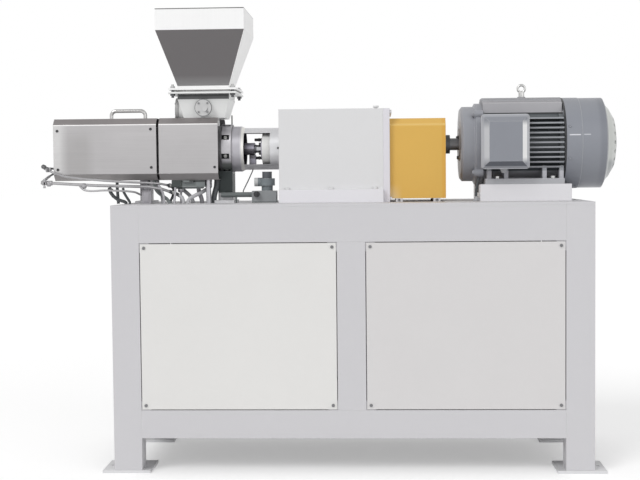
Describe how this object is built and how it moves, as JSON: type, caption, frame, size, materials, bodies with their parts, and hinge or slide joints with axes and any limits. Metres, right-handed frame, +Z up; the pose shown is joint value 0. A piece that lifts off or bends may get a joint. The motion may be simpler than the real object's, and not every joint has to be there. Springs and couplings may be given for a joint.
{
  "type": "twin screw extruder",
  "caption": "Table-mounted twin screw extruder with a motor, gearbox, hinged barrel cover and square feed hopper over intermeshing screws.",
  "frame": {"origin": "centre of the four floor anchor holes, on the floor", "axes": "+X along the machine from the discharge end to the motor end, -Y to the front, +Z up"},
  "size_m": [2.1304, 0.688, 1.665],
  "materials": {
    "frame_paint": "satin cool grey paint",
    "panel_paint": "satin warm white paint",
    "cover_steel": "fine brushed sheet",
    "hopper_steel": "satin stainless sheet",
    "machined_steel": "ground and turned",
    "gear_steel": "hobbed and oiled",
    "barrel_steel": "milled",
    "black_steel": "dark oxide",
    "bolt_zinc": "zinc plated",
    "bolt_black": "black oxide",
    "pale_casting": "pale paint",
    "motor_paint": "blue grey enamel",
    "fan_cover_paint": "blue grey enamel",
    "guard_paint": "golden yellow enamel",
    "electrical_steel": "laminated, varnished",
    "rotor_alloy": "cast",
    "black_plastic": "moulded",
    "coupling_iron": "turned",
    "hose_rubber": "smooth hose",
    "heater_alloy": "cast shell",
    "valve_metal": "dull grey"
  },
  "bodies": {
    "frame": {"foot_plates": "frame_paint", "uprights": "frame_paint", "long_rails": "frame_paint", "cross_rails": "frame_paint", "top_plate": "frame_paint", "side_panels": "panel_paint", "end_panels": "panel_paint", "panel_screws": "bolt_zinc", "barrel_segments": "barrel_steel", "feed_barrel": "barrel_steel", "heater_shells": "heater_alloy", "discharge_flange": "machined_steel", "barrel_bolts": "bolt_black", "barrel_supports": "black_steel", "lower_trays": "cover_steel", "clamp_ring": "machined_steel", "lantern": "machined_steel", "seal_housing": "pale_casting", "gearbox_casing": "frame_paint", "gearbox_cover": "frame_paint", "gearbox_bolts": "bolt_zinc", "gearbox_bearings": "machined_steel", "motor_frame": "motor_paint", "stator_core": "electrical_steel", "drive_end_shield": "motor_paint", "rear_end_shield": "motor_paint", "fan_cover": "fan_cover_paint", "terminal_box": "motor_paint", "terminal_lid": "motor_paint", "eyebolt": "bolt_zinc", "motor_bearings": "machined_steel", "motor_plinth": "frame_paint", "motor_bolts": "bolt_zinc", "coupling_guard": "guard_paint", "feed_throat": "pale_casting", "port_covers": "machined_steel", "hopper": "hopper_steel", "hopper_bolts": "bolt_black", "short_cover": "cover_steel", "hinge_pins": "bolt_zinc", "water_pipes": "machined_steel", "hose_bundle": "hose_rubber", "drain_valve": "valve_metal"},
    "drive": {"motor_shaft": "machined_steel", "rotor_core": "rotor_alloy", "cooling_fan": "black_plastic", "shaft_coupling": "coupling_iron", "input_shaft": "gear_steel"},
    "layshaft": {"layshaft": "gear_steel"},
    "screw_left": {"output_shaft_left": "gear_steel", "coupling_sleeve_left": "machined_steel", "screw_shaft_left": "machined_steel", "screw_elements_left": "machined_steel"},
    "screw_right": {"output_shaft_right": "gear_steel", "coupling_sleeve_right": "machined_steel", "screw_shaft_right": "machined_steel", "screw_elements_right": "machined_steel"},
    "barrel_cover": {"long_cover": "cover_steel", "cover_handle": "machined_steel"},
    "valve": {"valve_knob": "black_plastic"}
  },
  "joints": [
    {"name": "motor_spin", "type": "hinge", "parent": "frame", "child": "drive", "pos_m": [0.5, 0, 1.16569], "axis": [1, 0, 0], "continuous": true},
    {"name": "layshaft_spin", "type": "hinge", "parent": "frame", "child": "layshaft", "pos_m": [0, 0, 1.10569], "axis": [1, 0, 0], "continuous": true},
    {"name": "screw_left_spin", "type": "hinge", "parent": "frame", "child": "screw_left", "pos_m": [-0.3, -0.015, 1.156], "axis": [1, 0, 0], "continuous": true},
    {"name": "screw_right_spin", "type": "hinge", "parent": "frame", "child": "screw_right", "pos_m": [-0.3, 0.015, 1.156], "axis": [1, 0, 0], "continuous": true},
    {"name": "cover_lift", "type": "hinge", "parent": "frame", "child": "barrel_cover", "pos_m": [-0.912, 0.1313, 1.066], "axis": [-1, 0, 0], "range_deg": [0, 100]},
    {"name": "valve_turn", "type": "hinge", "parent": "frame", "child": "valve", "pos_m": [-0.353, -0.09, 0.987], "axis": [0, -1, 0], "range_deg": [0, 90]}
  ],
  "couplings": [
    {"joint": "layshaft_spin", "follows": "motor_spin", "ratio": -0.25},
    {"joint": "screw_left_spin", "follows": "motor_spin", "ratio": 0.625},
    {"joint": "screw_right_spin", "follows": "motor_spin", "ratio": 0.625}
  ]
}
